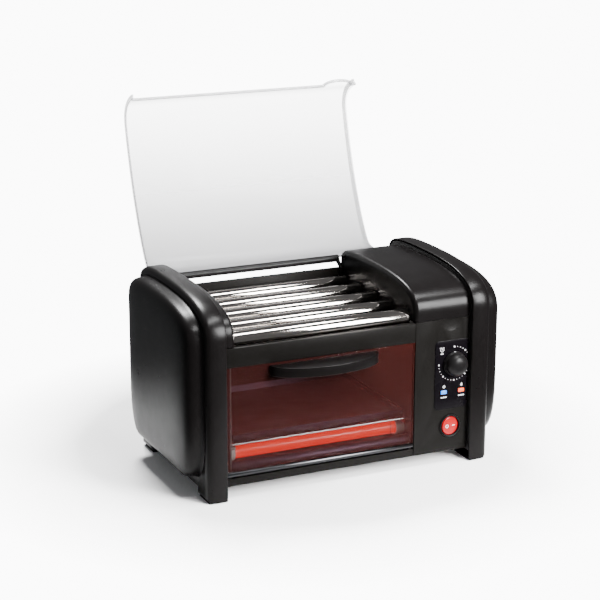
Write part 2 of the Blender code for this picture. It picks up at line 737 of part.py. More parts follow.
def hinge_brackets():
    """Upright plates inside the bed's back corners; the hood's bar turns in their eyes."""
    eye = arc((HINGE_Y, HINGE_Z), 0.0046, -50, 150, 10)
    outline = [(0.0895, 0.166), (0.0954, 0.166), (0.0954, 0.1960), *eye, (0.0895, 0.1965)]
    hole = circle((HINGE_Y, HINGE_Z), 0.0021, 16)
    places = {"left": BED_LEFT + GAP, "right": BED_RIGHT - GAP - 0.0022}
    for side, x in places.items():
        plate(f"{side}_hinge_bracket", outline, x, x + 0.0022, FACING_X, BLACK_PANEL, [hole])


def hood_profile():
    """The open sheet's middle line, from beside the bar to the free edge, relative to the hinge axis."""
    low = bezier((0.0055, 0.0005), (0.034, -0.0035), (0.044, -0.004), (0.052, 0.0045), 4)
    rise = bezier((0.052, 0.0045), (0.078, 0.040), (0.103, 0.103), (0.117, 0.1645), 6)
    curl = bezier((0.117, 0.1645), (0.1195, 0.180), (0.111, 0.191), (0.0915, 0.1985), 5)
    return [*low, *rise, *curl, (0.0915, 0.1985)]


def hood():
    """The curved clear sheet with a half-round finger tab on its free edge, and the bar it turns on."""
    pivot = bpy.data.objects.new("hood_pivot", None)
    pivot.parent = BODY
    pivot.location = (0, HINGE_Y, HINGE_Z)
    PARTS.objects.link(pivot)
    profile = hood_profile()
    tab = [TAB_CENTRE + TAB_HALF_WIDTH * math.sin(math.radians(a)) for a in range(-90, 91, 30)]
    columns = [-HOOD_HALF_WIDTH, *tab, HOOD_HALF_WIDTH]
    edge = (Vector(profile[-1]) - Vector(profile[-2])).normalized()
    shape = bmesh.new()
    rows = []
    for x in columns:
        line = [(x, y, z) for y, z in profile]
        share = min(1.0, abs(x - TAB_CENTRE) / TAB_HALF_WIDTH)
        reach = edge * TAB_HEIGHT * math.sqrt(1 - share * share)
        line[-1] = (x, profile[-1][0] + reach.x, profile[-1][1] + reach.y)
        rows.append([shape.verts.new(point) for point in line])
    for row, following in zip(rows, rows[1:]):
        for i in range(len(profile) - 1):
            shape.faces.new((row[i], row[i + 1], following[i + 1], following[i]))
    sheet = place("hood_shell", mesh_from("hood_shell", shape), ACRYLIC)
    sheet.parent = pivot
    wall = sheet.modifiers.new("wall", "SOLIDIFY")
    wall.thickness = HOOD_WALL
    wall.offset = 0
    pin = 0.0018
    left, right = BED_LEFT + 0.0029, BED_RIGHT - 0.0029
    bar = HINGE_BAR_RADIUS
    ends = (BED_LEFT + 0.0005, BED_RIGHT - 0.0005)
    profile = [
        (0, ends[1]), (pin, ends[1]), (pin, right), (bar, right), (bar, left), (pin, left), (pin, ends[0]),
        (0, ends[0]),
    ]
    hinge = turned("hood_hinge_bar", profile, (0, 0, 0), AXIS_X, NYLON_BLACK, steps=16)
    hinge.parent = pivot


def door():
    """A smoked glass pane over a round rail with a pin at each end, and a half-moon handle."""
    pivot = bpy.data.objects.new("door_pivot", None)
    pivot.parent = BODY
    pivot.location = (0, DOOR_AXIS_Y, DOOR_AXIS_Z)
    PARTS.objects.link(pivot)
    rail = DOOR_RAIL_RADIUS
    pin = DOOR_PIN_RADIUS
    profile = [
        (0, 0.0852), (pin, 0.0852), (pin, DOOR_RIGHT), (rail, DOOR_RIGHT), (rail, DOOR_LEFT),
        (pin, DOOR_LEFT), (pin, -RIM_IN - 0.0018), (0, -RIM_IN - 0.0018),
    ]
    turned("door_rail", profile, (0, 0, 0), AXIS_X, NYLON_BLACK, steps=16).parent = pivot
    front = FRONT - DOOR_AXIS_Y
    low = (DOOR_LEFT, front, rail + GAP)
    high = (DOOR_RIGHT, front + 0.004, GLASS_TOP - DOOR_AXIS_Z)
    block("door_glass", low, high, DOOR_GLASS).parent = pivot
    handle = door_handle(front - GAP)
    handle.parent = pivot


def half_moon(half_width, reach):
    """A flat half ellipse with its straight side on y = 0, bulging to -y, as (x, y) points."""
    angles = [math.radians(180 + 180 * i / 20) for i in range(21)]
    return [(HANDLE_X + half_width * math.cos(a), reach * math.sin(a)) for a in angles]


def door_handle(back):
    low, high = HANDLE_BOTTOM - DOOR_AXIS_Z, HANDLE_TOP - DOOR_AXIS_Z
    ledge = [(x, y + back) for x, y in half_moon(HANDLE_HALF_WIDTH, HANDLE_REACH)]
    handle = plate("door_handle", ledge, low, high, FACING_Z, BLACK_SHELL)
    hollow = half_moon(HANDLE_HALF_WIDTH - 0.004, HANDLE_REACH - 0.0058)
    grip = [(x, y + back - 0.003) for x, y in hollow]
    pocket = plate("handle_pocket", grip, low - 0.002, high - 0.003, FACING_Z)
    pocket.parent = bpy.data.objects["door_pivot"]
    boolean(handle, pocket)
    return handle


end_cap("left_end_cap", -1)
end_cap("right_end_cap", 1)
side_frames()
top_cover("left_bearing_cover", -1, -RIM_IN + GAP, BED_LEFT, BLACK_SHELL)
top_cover("gearbox_cover", 1, RIM_IN - GAP, BED_RIGHT, BLACK_SHELL)
bearings()
for number, roller_y in enumerate(roller_ys(), 1):
    roller(number, roller_y)
gear_train()
gear_motor()
front_fascia()
control_panel()
control_overlay()
lamps()
timer()
power_switch()
oven()
crumb_tray()
cabinet()
hinge_brackets()
hood()
door()
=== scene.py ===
import math

import bmesh
import bpy
import numpy as np
from mathutils import Matrix, Vector


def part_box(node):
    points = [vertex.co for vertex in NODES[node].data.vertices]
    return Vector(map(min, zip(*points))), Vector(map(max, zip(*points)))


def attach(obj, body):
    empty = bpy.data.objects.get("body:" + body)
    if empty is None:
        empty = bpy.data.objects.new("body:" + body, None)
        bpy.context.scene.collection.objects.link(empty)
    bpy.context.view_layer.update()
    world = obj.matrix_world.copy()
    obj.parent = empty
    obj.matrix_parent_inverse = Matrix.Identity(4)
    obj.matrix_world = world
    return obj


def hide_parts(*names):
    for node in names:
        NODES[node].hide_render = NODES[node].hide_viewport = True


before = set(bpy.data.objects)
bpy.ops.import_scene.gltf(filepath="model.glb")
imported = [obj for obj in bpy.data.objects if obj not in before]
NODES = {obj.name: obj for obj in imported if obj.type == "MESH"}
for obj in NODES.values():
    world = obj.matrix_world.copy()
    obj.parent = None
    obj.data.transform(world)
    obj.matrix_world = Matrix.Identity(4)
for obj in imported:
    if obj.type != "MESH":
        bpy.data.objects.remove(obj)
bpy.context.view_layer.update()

WORLD_X = Vector((1, 0, 0))
WORLD_Y = Vector((0, 1, 0))
WORLD_Z = Vector((0, 0, 1))


def box(node):
    low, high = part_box(node)
    return low, high, (low + high) / 2


# The end caps are centred on the footprint's own middle, so their middle is where the outlines' y = 0 lies.
CAP_LOW, CAP_HIGH, CAP_MIDDLE = box("right_end_cap")
MIDDLE_Y = CAP_MIDDLE.y
HALF_DEPTH = (CAP_HIGH.y - CAP_LOW.y) / 2
RIM_OUT = 0.178
RIM_IN = CAP_LOW.x
BULGE_OUT = CAP_HIGH.x
TOP = CAP_HIGH.z
FRONT = box("control_panel")[0].y
BED_LEFT = box("left_bearing_cover")[1].x
BED_RIGHT = box("gearbox_cover")[0].x
HOOD_BOTTOM = box("hood_shell")[0].z
HOOD_TOP = box("hood_shell")[1].z
ROLLERS = range(1, 6)


def at_y(y):
    """A depth measured from the middle of the end caps, in the frame."""
    return y + MIDDLE_Y


# Materials


class Nodes:
    """A short way to add nodes to one material and link them."""

    def __init__(self, name):
        self.material = bpy.data.materials.new(name)
        self.material.use_nodes = True
        self.tree = self.material.node_tree
        self.shader = self.tree.nodes["Principled BSDF"]
        self.where = self.tree.nodes.new("ShaderNodeTexCoord").outputs["Object"]

    def add(self, kind, **values):
        node = self.tree.nodes.new("ShaderNode" + kind)
        for key, value in values.items():
            setattr(node, key, value)
        return node

    def link(self, source, target):
        self.tree.links.new(source, target)

    def stretched(self, scale):
        node = self.add("Mapping")
        node.inputs["Scale"].default_value = scale
        self.link(self.where, node.inputs["Vector"])
        return node.outputs["Vector"]

    def noise(self, scale, detail=3.0, where=None, roughness=0.5):
        node = self.add("TexNoise")
        node.inputs["Scale"].default_value = scale
        node.inputs["Detail"].default_value = detail
        node.inputs["Roughness"].default_value = roughness
        self.link(where or self.where, node.inputs["Vector"])
        return node.outputs["Fac"]

    def remap(self, value, low, high, to_low, to_high):
        node = self.add("MapRange")
        node.inputs["From Min"].default_value = low
        node.inputs["From Max"].default_value = high
        node.inputs["To Min"].default_value = to_low
        node.inputs["To Max"].default_value = to_high
        self.link(value, node.inputs["Value"])
        return node.outputs["Result"]

    def mix(self, factor, first, second):
        node = self.add("Mix", data_type="RGBA")
        self.link(factor, node.inputs["Factor"])
        for socket, value in ((node.inputs[6], first), (node.inputs[7], second)):
            if isinstance(value, tuple):
                socket.default_value = (*value, 1.0)
            else:
                self.link(value, socket)
        return node.outputs[2]

    def maths(self, operation, first, second):
        node = self.add("Math", operation=operation)
        for socket, value in zip(node.inputs, (first, second)):
            if isinstance(value, float):
                socket.default_value = value
            else:
                self.link(value, socket)
        return node.outputs[0]

    def bump(self, height, depth):
        node = self.add("Bump")
        node.inputs["Distance"].default_value = depth
        node.inputs["Strength"].default_value = 1.0
        self.link(height, node.inputs["Height"])
        self.link(node.outputs["Normal"], self.shader.inputs["Normal"])

    def edges(self, radius):
        """Near 1 close to a convex or concave edge, and 0 elsewhere."""
        least, most = 0.02, 0.25
        bevel = self.add("Bevel", samples=4)
        bevel.inputs["Radius"].default_value = radius
        normal = self.add("NewGeometry")
        dot = self.add("VectorMath", operation="DOT_PRODUCT")
        self.link(bevel.outputs["Normal"], dot.inputs[0])
        self.link(normal.outputs["Normal"], dot.inputs[1])
        return self.remap(dot.outputs["Value"], 1 - least, 1 - most, 0.0, 1.0)

    def set(self, **values):
        for key, value in values.items():
            self.shader.inputs[key.replace("_", " ")].default_value = value


# The head-on reflection that a specular of 1 stands for. At 0.5 it is that of an index of 1.45.
FULL_GLOSS = 0.0674


def moulded(name, colour, roughness, spread=0.08, grain=900.0, depth=0.00004, wear=None, specular=0.3):
    """Satin plastic or powder coat: fine grain, uneven gloss, faint colour change and rubbed edges."""
    made = Nodes(name)
    broad = made.noise(18.0, 4.0)
    fine = made.noise(grain, 2.0)
    lighter = tuple(min(1.0, c * 1.12) for c in colour)
    shade = made.mix(broad, tuple(c * 0.90 for c in colour), lighter)
    if wear is not None:
        edges = made.edges(0.0007)
        patches = made.remap(made.noise(120.0, 4.0), 0.45, 0.65, 0.0, 0.7)
        shade = made.mix(made.maths("MULTIPLY", edges, patches), shade, wear)
    made.link(shade, made.shader.inputs["Base Color"])
    smudge = made.noise(42.0, 5.0, roughness=0.65)
    gloss = made.remap(smudge, 0.3, 0.7, roughness - spread, roughness + spread)
    made.link(gloss, made.shader.inputs["Roughness"])
    made.bump(fine, depth)
    # The index is what is lowered, so that the floor's glare at a slant goes down too.
    facing_gloss = math.sqrt(FULL_GLOSS * specular)
    made.set(IOR=(1 + facing_gloss) / (1 - facing_gloss))
    return made.material


def metal(name, colour, roughness, lines, spread=0.06, depth=0.00002, dirt=None):
    """Metal with drawn or rolled lines; lines is the texture's stretch along each axis."""
    made = Nodes(name)
    streaks = made.noise(1.0, 3.0, where=made.stretched(lines))
    smudge = made.noise(30.0, 5.0, roughness=0.6)
    shade = made.mix(streaks, tuple(c * 0.9 for c in colour), colour)
    if dirt is not None:
        spots = made.remap(made.noise(65.0, 6.0, roughness=0.7), 0.56, 0.74, 0.0, 0.8)
        shade = made.mix(spots, shade, dirt)
    made.link(shade, made.shader.inputs["Base Color"])
    gloss = made.maths("ADD", made.remap(smudge, 0.3, 0.7, -spread, spread), roughness)
    made.link(gloss, made.shader.inputs["Roughness"])
    made.bump(streaks, depth)
    made.set(Metallic=1.0)
    return made.material


def lit_lens(name, colour, glow, strength):
    made = Nodes(name)
    facets = made.noise(700.0, 2.0)
    made.link(made.mix(facets, tuple(c * 0.8 for c in colour), colour), made.shader.inputs["Base Color"])
    made.set(Roughness=0.22, Emission_Color=(*glow, 1.0), Emission_Strength=strength)
    made.bump(facets, 0.00003)
    return made.material


def printed(name, colour):
    """Screen-printed ink, slightly uneven and thinner at its edges."""
    made = Nodes(name)
    uneven = made.noise(1500.0, 3.0)
    made.link(made.mix(uneven, tuple(c * 0.85 for c in colour), colour), made.shader.inputs["Base Color"])
    made.set(Roughness=0.5)
    made.bump(uneven, 0.00001)
    return made.material


def clear_sheet():
    """Clear acrylic: faint blue-grey, with fine wiping scratches; denser and brighter where seen edge on."""
    made = Nodes("clear_acrylic")
    scratches = made.noise(1.0, 4.0, where=made.stretched((900.0, 60.0, 30.0)))
    # Painted light and shade: the sheet is coloured lighter towards its top and darker towards its bottom,
    # and is made denser towards its bottom too.
    height = made.add("SeparateXYZ")
    made.link(made.where, height.inputs[0])
    painted_shade_by_height = made.remap(height.outputs["Z"], HOOD_TOP, HOOD_BOTTOM, 0.0, 1.0)
    made.link(made.mix(painted_shade_by_height, (0.50, 0.50, 0.50), (0.20, 0.20, 0.205)), made.shader.inputs["Base Color"])
    made.link(made.remap(scratches, 0.35, 0.75, 0.04, 0.16), made.shader.inputs["Roughness"])
    facing = made.add("LayerWeight")
    facing.inputs["Blend"].default_value = 0.35
    edge_on = made.remap(facing.outputs["Facing"], 0.35, 1.0, 0.0, 0.45)
    made.link(
        made.maths("ADD", edge_on, made.remap(painted_shade_by_height, 0.0, 1.0, 0.12, 0.78)), made.shader.inputs["Alpha"]
    )
    made.bump(scratches, 0.000008)
    made.set(IOR=1.49, Specular_IOR_Level=0.06)
    return made.material


def sheet_edge():
    """The sawn and flame-polished edge of the acrylic, where light gathers."""
    made = Nodes("acrylic_edge")
    saw = made.noise(1.0, 3.0, where=made.stretched((400.0, 400.0, 2500.0)))
    made.link(made.mix(saw, (0.16, 0.16, 0.17), (0.28, 0.28, 0.29)), made.shader.inputs["Base Color"])
    made.set(Roughness=0.16, Alpha=0.55)
    made.bump(saw, 0.00003)
    return made.material


def smoked_glass():
    """Brown-red smoked oven glass with a baked-on haze."""
    made = Nodes("smoked_glass")
    haze = made.noise(9.0, 3.0)
    made.link(made.mix(haze, (0.012, 0.003, 0.003), (0.024, 0.007, 0.006)), made.shader.inputs["Base Color"])
    made.link(made.remap(haze, 0.3, 0.75, 0.02, 0.05), made.shader.inputs["Roughness"])
    facing = made.add("LayerWeight")
    facing.inputs["Blend"].default_value = 0.3
    made.link(made.remap(facing.outputs["Facing"], 0.0, 1.0, 0.42, 0.88), made.shader.inputs["Alpha"])
    made.set(IOR=1.5, Specular_IOR_Level=0.05)
    return made.material


def hot_quartz():
    """Frosted quartz lit from inside by the glowing coil."""
    made = Nodes("quartz")
    uneven = made.noise(1.0, 3.0, where=made.stretched((60.0, 220.0, 220.0)))
    made.link(made.mix(uneven, (0.20, 0.005, 0.003), (0.30, 0.012, 0.006)), made.shader.inputs["Base Color"])
    heat = made.mix(uneven, (0.80, 0.003, 0.002), (1.0, 0.040, 0.014))
    made.link(heat, made.shader.inputs["Emission Color"])
    made.set(Roughness=0.18, Emission_Strength=2.5, Alpha=0.80)
    made.bump(uneven, 0.00005)
    return made.material


def glowing_coil():
    made = Nodes("glowing_coil")
    along = made.noise(1.0, 2.0, where=made.stretched((90.0, 10.0, 10.0)))
    made.link(made.mix(along, (1.0, 0.10, 0.03), (1.0, 0.30, 0.12)), made.shader.inputs["Emission Color"])
    made.set(Base_Color=(0.3, 0.08, 0.03, 1.0), Roughness=0.4, Emission_Strength=9.0)
    made.bump(along, 0.00003)
    return made.material


SHELL = moulded(
    "black_shell", (0.0022, 0.0018, 0.0018), 0.30, spread=0.03, wear=(0.010, 0.009, 0.009), specular=0.095
)
PANEL = moulded(
    "black_panel", (0.0036, 0.0033, 0.0030), 0.38, grain=1300.0, wear=(0.012, 0.011, 0.010), specular=0.045
)
FILM = moulded(
    "overlay_film", (0.0018, 0.0014, 0.0020), 0.26, spread=0.05, grain=2200.0, depth=0.00001, specular=0.05
)
NYLON = moulded("black_nylon", (0.0034, 0.0031, 0.0032), 0.36, grain=1100.0, specular=0.09)
RUBBER = moulded("rubber", (0.006, 0.006, 0.006), 0.80, grain=1600.0, depth=0.0001, specular=0.1)
ACETAL = moulded("acetal", (0.66, 0.64, 0.58), 0.42, grain=700.0)
CERAMIC = moulded("ceramic", (0.74, 0.71, 0.64), 0.55, grain=1400.0, depth=0.00008)
RED = moulded(
    "red_button", (0.21, 0.0012, 0.0030), 0.22, spread=0.05, grain=2000.0, depth=0.00001, specular=0.2
)
STEEL = metal("sheet_steel", (0.24, 0.23, 0.225), 0.34, (4.0, 700.0, 700.0), dirt=(0.16, 0.12, 0.10))
CHROME = metal("roller_chrome", (0.32, 0.295, 0.275), 0.08, (900.0, 14.0, 14.0), spread=0.04, depth=0.000006)
BRIGHT_RAIL = metal("bright_rail", (0.028, 0.028, 0.030), 0.22, (60.0, 900.0, 900.0))
SCREW = metal("screw_steel", (0.42, 0.41, 0.40), 0.30, (900.0, 900.0, 900.0))
DARK_TRAY = metal("dark_tray", (0.066, 0.046, 0.068), 0.40, (8.0, 500.0, 500.0), dirt=(0.035, 0.020, 0.015))
RACK_WIRE = metal("rack_wire", (0.62, 0.60, 0.60), 0.22, (500.0, 500.0, 500.0), dirt=(0.30, 0.22, 0.17))
ACRYLIC = clear_sheet()
ACRYLIC_EDGE = sheet_edge()
GLASS = smoked_glass()
QUARTZ = hot_quartz()
COIL = glowing_coil()
BLUE = lit_lens("blue_lens", (0.02, 0.13, 0.40), (0.01, 0.20, 1.0), 1.3)
ORANGE = lit_lens("orange_lens", (0.45, 0.06, 0.01), (1.0, 0.07, 0.004), 1.4)
WHITE_INK = printed("white_ink", (0.62, 0.62, 0.64))


# Shapes


def bezier(p0, p1, p2, p3, points):
    """Points on a cubic curve, without its last one."""
    corners = np.array((p0, p1, p2, p3), float)
    found = []
    for i in range(points):
        t = i / points
        s = 1 - t
        found.append(tuple(np.array((s**3, 3 * s * s * t, 3 * s * t * t, t**3)) @ corners))
    return found


def sharpen(mesh, degrees):
    """Smooth shading, with the edges that turn more than this kept sharp."""
    shape = bmesh.new()
    shape.from_mesh(mesh)
    for face in shape.faces:
        face.smooth = True
    limit = math.radians(degrees)
    for edge in shape.edges:
        edge.smooth = len(edge.link_faces) == 2 and edge.calc_face_angle(math.pi) < limit
    shape.to_mesh(mesh)
    shape.free()


def apply_modifiers(made):
    bpy.context.view_layer.update()
    graph = bpy.context.evaluated_depsgraph_get()
    applied = bpy.data.meshes.new_from_object(made.evaluated_get(graph))
    made.modifiers.clear()
    made.data = applied


def piece(name, shape, finish, body, sharp=32, modifiers=(), replaces=()):
    """A finished mesh piece: modifiers applied, shading set, in one material, riding on one body."""
    mesh = bpy.data.meshes.new(name)
    bmesh.ops.recalc_face_normals(shape, faces=shape.faces)
    shape.to_mesh(mesh)
    shape.free()
    made = bpy.data.objects.new(name, mesh)
    bpy.context.scene.collection.objects.link(made)
    for kind, values in modifiers:
        modifier = made.modifiers.new(kind.lower(), kind)
        for key, value in values.items():
            setattr(modifier, key, value)
    if modifiers:
        apply_modifiers(made)
        made.data.name = name
    sharpen(made.data, sharp)
    made.data.materials.clear()
    made.data.materials.append(finish)
    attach(made, body)
    if replaces:
        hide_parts(*replaces)
    return made


def bevelled(width, segments=3, angle=30):
    return (
        "BEVEL",
        {
            "width": width,
            "segments": segments,
            "limit_method": "ANGLE",
            "angle_limit": math.radians(angle),
            "harden_normals": False,
        },
    )


def solid(thickness, offset=-1):
    return ("SOLIDIFY", {"thickness": thickness, "offset": offset, "use_even_offset": True})


def rows_to_faces(shape, rows, closed_rows=False, closed_columns=False):
    """Faces between neighbouring rows of vertices."""
    count = len(rows[0])
    pairs = list(zip(rows, rows[1:]))
    if closed_rows:
        pairs.append((rows[-1], rows[0]))
    for row, following in pairs:
        for i in range(count if closed_columns else count - 1):
            j = (i + 1) % count
            shape.faces.new((row[i], row[j], following[j], following[i]))


def frame_along(direction):
    direction = Vector(direction).normalized()
    return WORLD_Z.rotation_difference(direction).to_matrix().to_4x4()


def lathe(shape, profile, start, direction, segments=64):
    """A closed profile of (radius, height) points, turned about direction from start."""
    matrix = Matrix.Translation(Vector(start)) @ frame_along(direction)
    rows = []
    for i in range(segments):
        angle = 2 * math.pi * i / segments
        cos, sin = math.cos(angle), math.sin(angle)
        rows.append([shape.verts.new(matrix @ Vector((r * cos, r * sin, h))) for r, h in profile])
    rows_to_faces(shape, rows, closed_rows=True)
    for end in (0, -1):
        if profile[end][0] > 1e-7:
            shape.faces.new([row[end] for row in rows])
    bmesh.ops.remove_doubles(shape, verts=shape.verts, dist=1e-7)
    return shape


def tube(shape, path, radius, segments=12):
    """A round tube along a path of points."""
    points = [Vector(p) for p in path]
    count = len(points)
    side = None
    rows = []
    for i, point in enumerate(points):
        before = points[max(0, i - 1)]
        after = points[min(count - 1, i + 1)]
        run = (after - before).normalized()
        if side is None:
            side = run.orthogonal().normalized()
        side = (side - run * side.dot(run)).normalized()
        other = run.cross(side)
        row = []
        for k in range(segments):
            angle = 2 * math.pi * k / segments
            row.append(shape.verts.new(point + (side * math.cos(angle) + other * math.sin(angle)) * radius))
        rows.append(row)
    rows_to_faces(shape, rows, closed_columns=True)
    shape.faces.new(rows[0])
    shape.faces.new(rows[-1])
    return shape


def slab(shape, outline, low, high, to_point):
    """A flat outline extruded between two heights; to_point turns (u, v, height) into a point."""
    bottom = [shape.verts.new(to_point(u, v, low)) for u, v in outline]
    top = [shape.verts.new(to_point(u, v, high)) for u, v in outline]
    shape.faces.new(bottom)
    shape.faces.new(top)
    rows_to_faces(shape, [bottom, top], closed_columns=True)
    return shape


def across_x(u, v, height):
    return Vector((height, u, v))


def across_y(u, v, height):
    return Vector((u, height, v))


def across_z(u, v, height):
    return Vector((u, v, height))


def brick(shape, low, high):
    (x0, y0, z0), (x1, y1, z1) = low, high
    return slab(shape, [(x0, y0), (x1, y0), (x1, y1), (x0, y1)], z0, z1, across_z)


def softened(node, width, finish, body, segments=2, angle=35, sharp=32):
    """A piece that takes a node's place, with the node's own shape and its hard edges rounded off."""
    shape = bmesh.new()
    shape.from_mesh(NODES[node].data)
    bmesh.ops.transform(shape, matrix=NODES[node].matrix_world, verts=shape.verts)
    bmesh.ops.remove_doubles(shape, verts=shape.verts, dist=1e-6)
    bmesh.ops.dissolve_limit(
        shape, angle_limit=math.radians(1), verts=shape.verts, edges=shape.edges,
        use_dissolve_boundaries=False,
    )
    return piece(node + "_skin", shape, finish, body, sharp, [bevelled(width, segments, angle)], [node])


def circle(centre, radius, points):
    step = 2 * math.pi / points
    return [
        (centre[0] + radius * math.cos(i * step), centre[1] + radius * math.sin(i * step))
        for i in range(points)
    ]


def rounded(low, high, radius, points=6):
    (u0, v0), (u1, v1) = low, high
    corners = (
        (u1 - radius, v0 + radius, -90), (u1 - radius, v1 - radius, 0),
        (u0 + radius, v1 - radius, 90), (u0 + radius, v0 + radius, 180),
    )
    found = []
    for u, v, first in corners:
        for i in range(points):
            angle = math.radians(first + 90 * i / (points - 1))
            found.append((u + radius * math.cos(angle), v + radius * math.sin(angle)))
    return found


def inset(line, depth, closed=False):
    """Moves a line of points to its right by depth, mitred at the corners."""
    moved = []
    count = len(line)
    for i, point in enumerate(line):
        before = Vector(line[i - 1] if closed or i else line[0])
        after = Vector(line[(i + 1) % count] if closed or i + 1 < count else line[-1])
        here = Vector(point)
        first = here - before if (here - before).length > 0 else after - here
        second = after - here if (after - here).length > 0 else here - before
        normals = [Vector((side.y, -side.x)).normalized() for side in (first, second)]
        middle = (normals[0] + normals[1]).normalized()
        moved.append(tuple(here + middle * depth / middle.dot(normals[0])))
    return moved


def cut(made, tool):
    """Subtracts the mesh of tool from made, for good."""
    mesh = bpy.data.meshes.new("cutter")
    bmesh.ops.recalc_face_normals(tool, faces=tool.faces)
    tool.to_mesh(mesh)
    tool.free()
    cutter = bpy.data.objects.new("cutter", mesh)
    bpy.context.scene.collection.objects.link(cutter)
    modifier = made.modifiers.new("cut", "BOOLEAN")
    modifier.operation = "DIFFERENCE"
    modifier.solver = "EXACT"
    modifier.object = cutter
    apply_modifiers(made)
    bpy.data.objects.remove(cutter, do_unlink=True)
    sharpen(made.data, 32)


# The moulded end caps and the covers between them


def top_curve():
    points = 26
    front = bezier((-HALF_DEPTH, 0.186), (-HALF_DEPTH, 0.217), (-0.076, TOP), (0.018, TOP), points)
    back = bezier((0.018, TOP), (0.088, TOP), (HALF_DEPTH, 0.229), (HALF_DEPTH, 0.203), points)
    return [*front, *back, (HALF_DEPTH, 0.203), (HALF_DEPTH, 0.186)]


SIDE_LEVELS = (0.150, 0.110, 0.075, 0.040, 0.014)
FOOT_BOTTOM, FOOT_TOP, FOOT_LENGTH = 0.001, 0.0085, 0.036


def cap_outline(depth):
    rise = [(-HALF_DEPTH, z) for z in (FOOT_BOTTOM, *reversed(SIDE_LEVELS))]
    fall = [(HALF_DEPTH, z) for z in (*SIDE_LEVELS, FOOT_BOTTOM)]
    foot = HALF_DEPTH - FOOT_LENGTH
    arch = [(foot, FOOT_BOTTOM), (foot, FOOT_TOP), (-foot, FOOT_TOP), (-foot, FOOT_BOTTOM)]
    return inset([*rise, *top_curve(), *fall, *arch], depth, closed=True)


def pillow_outline(depth):
    low_corner = bezier((-0.080, 0.014), (-0.097, 0.016), (-0.1050, 0.040), (-0.1066, 0.070), 6)
    rise = [*low_corner, (-0.1066, 0.070), (-HALF_DEPTH, 0.095), (-HALF_DEPTH, 0.150)]
    fall = [(-y, z) for y, z in reversed(rise)]
    across = (HALF_DEPTH - depth) / HALF_DEPTH
    upward = (0.108 - depth) / 0.108
    line = [*rise, *top_curve(), *fall, (0.040, 0.014), (0.0, 0.014), (-0.040, 0.014)]
    return [(y * across, 0.122 + (z - 0.122) * upward) for y, z in line]


def dense(rings, between):
    """Extra rings on a smooth curve through (x, depth) points."""
    knots = np.array(rings, float)
    found = []
    for i in range(len(knots) - 1):
        p0, p1, p2, p3 = knots[max(0, i - 1)], knots[i], knots[i + 1], knots[min(len(knots) - 1, i + 2)]
        for k in range(between):
            t = k / between
            found.append(tuple(
                0.5 * (2 * p1 + (p2 - p0) * t + (2 * p0 - 5 * p1 + 4 * p2 - p3) * t * t
                       + (3 * p1 - p0 - 3 * p2 + p3) * t**3)
            ))
    return [*found, tuple(knots[-1])]


def end_cap(name, side):
    rim = [(RIM_IN, 0.0008), (RIM_IN + 0.0003, 0.0003), (RIM_IN + 0.0010, 0.0)]
    rim += dense([(0.168, 0.0), (0.1727, 0.0006), (0.1760, 0.0024), (0.1777, 0.0052), (RIM_OUT, 0.0078)], 3)
    bulge = dense([
        (0.1772, 0.0085), (0.1797, 0.0095), (0.1878, 0.0105), (0.1932, 0.0130), (0.1967, 0.0185),
        (0.1985, 0.0300), (BULGE_OUT - 0.0002, 0.0460), (BULGE_OUT, 0.0640),
    ], 3)
    shape = bmesh.new()
    rows = []
    for sections, outline in ((rim, cap_outline), (bulge, pillow_outline)):
        rings = [[Vector((side * x, at_y(y), z)) for y, z in outline(depth)] for x, depth in sections]
        rows.append([[shape.verts.new(p) for p in ring] for ring in rings])
    for part in rows:
        rows_to_faces(shape, part, closed_columns=True)
    # The valley between the rim and the bulge joins two outlines with different counts of points.
    outer = [shape.edges.get((rows[0][-1][i], rows[0][-1][i - 1])) for i in range(len(rows[0][-1]))]
    inner = [shape.edges.get((rows[1][0][i], rows[1][0][i - 1])) for i in range(len(rows[1][0]))]
    bmesh.ops.bridge_loops(shape, edges=outer + inner)
    shape.faces.new(rows[1][-1])
    piece(name + "_skin", shape, SHELL, "cabinet", sharp=38, modifiers=[solid(0.0026)], replaces=[name])


end_cap("left_end_cap", -1)
end_cap("right_end_cap", 1)


def top_cover(name, side, outer, inner):
    """The set-in cover over the bearings or gears, with a soft inner edge and slots for the rollers."""
    recess, seam = 0.008, 0.1768
    slot_radius, slot_foot, slot_reach = 0.0055, 0.16, 0.004
    # How far the soft edge has run inwards, and how far it has dropped by there.
    soft_edge = 0.005
    steps = (
        (0.0, 0.0), (0.0006, 0.00006), (0.0018, 0.0004), (0.0031, 0.0013), (0.0041, 0.0028), (0.0048, 0.0044),
        (soft_edge, 0.0062),
    )
    sections = [outer] + [inner + side * (soft_edge - run) for run, _ in steps]
    rings = []
    for drop in [0.0] + [drop for _, drop in steps]:
        curve = inset(top_curve(), recess + drop)
        rings.append([(curve[0][0], seam), *curve, (curve[-1][0], seam)])
    shape = bmesh.new()
    rows = [[shape.verts.new(Vector((x, at_y(y), z))) for y, z in ring] for x, ring in zip(sections, rings)]
    rows_to_faces(shape, rows)
    shape.faces.new(rows[-1])
    made = piece(name + "_skin", shape, SHELL, "cabinet", modifiers=[solid(0.0020)], replaces=[name])
    slots = bmesh.new()
    for number in ROLLERS:
        middle = box(f"roller_{number}")[2]
        arc = circle((middle.y, middle.z), slot_radius, 17)[:9]
        outline = [*arc, (middle.y - slot_radius, slot_foot), (middle.y + slot_radius, slot_foot)]
        slab(slots, outline, inner - slot_reach, inner + slot_reach, across_x)
    cut(made, slots)


LEFT_COVER = box("left_bearing_cover")
RIGHT_COVER = box("gearbox_cover")
top_cover("left_bearing_cover", -1, LEFT_COVER[0].x, LEFT_COVER[1].x)
top_cover("gearbox_cover", 1, RIGHT_COVER[1].x, RIGHT_COVER[0].x)


# Rollers


